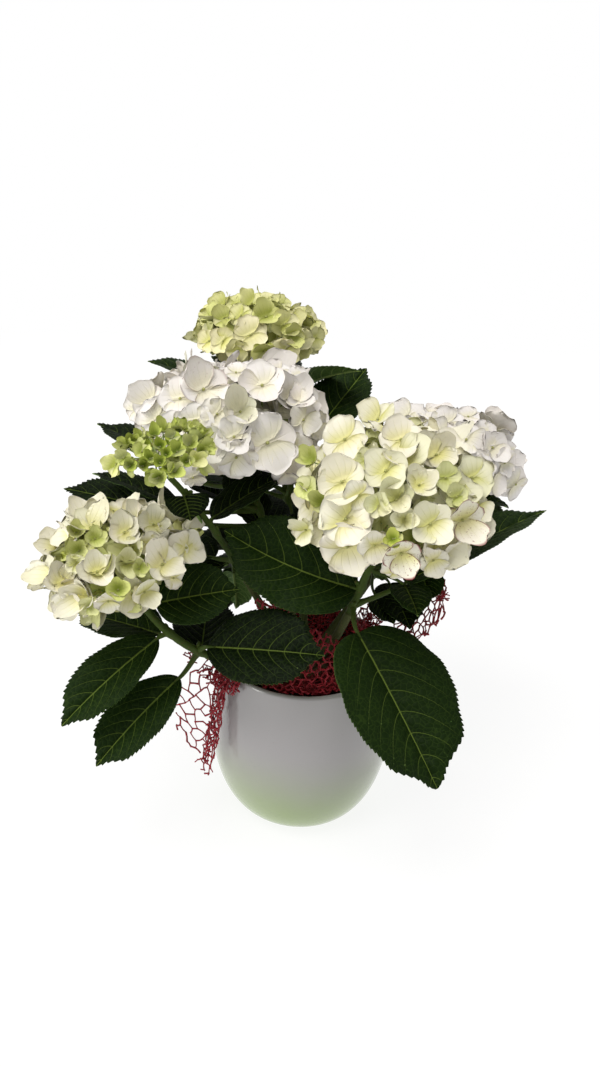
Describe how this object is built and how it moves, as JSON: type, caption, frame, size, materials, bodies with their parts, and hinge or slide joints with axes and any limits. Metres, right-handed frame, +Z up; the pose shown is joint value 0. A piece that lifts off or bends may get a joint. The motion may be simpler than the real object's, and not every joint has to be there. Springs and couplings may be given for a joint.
{
  "type": "potted hydrangea shrub",
  "caption": "Potted bigleaf hydrangea shrub with domed flower heads and broad leaves, in a round-bellied glazed pot with a loose net round the stems.",
  "frame": {"origin": "centre of the pot's flat underside", "axes": "+Z up along the pot's axis, -Y towards the side from which the plant is seen, +X to its right"},
  "size_m": [0.4047, 0.4019, 0.4008],
  "materials": {
    "glazed_pot": "gloss",
    "peat": "matte",
    "woody_crown": "matte",
    "green_stem": "satin",
    "leaf": "satin",
    "blossom_white": "matte",
    "blossom_cream": "matte",
    "blossom_lime": "matte",
    "blossom_green": "matte",
    "net_fibre": "satin"
  },
  "bodies": {
    "root": {"pot": "glazed_pot", "root_ball": "peat", "crown": "woody_crown", "stem_right": "green_stem", "leaves_right": "leaf", "head_right": "blossom_cream", "stem_back": "green_stem", "leaves_back": "leaf", "head_back": "blossom_white", "stem_mid": "green_stem", "leaves_mid": "leaf", "head_mid": "blossom_white", "stem_top": "green_stem", "leaves_top": "leaf", "head_top": "blossom_lime", "stem_small": "green_stem", "leaves_small": "leaf", "head_small": "blossom_green", "stem_left": "green_stem", "leaves_left": "leaf", "head_left": "blossom_cream", "net": "net_fibre"}
  },
  "joints": []
}
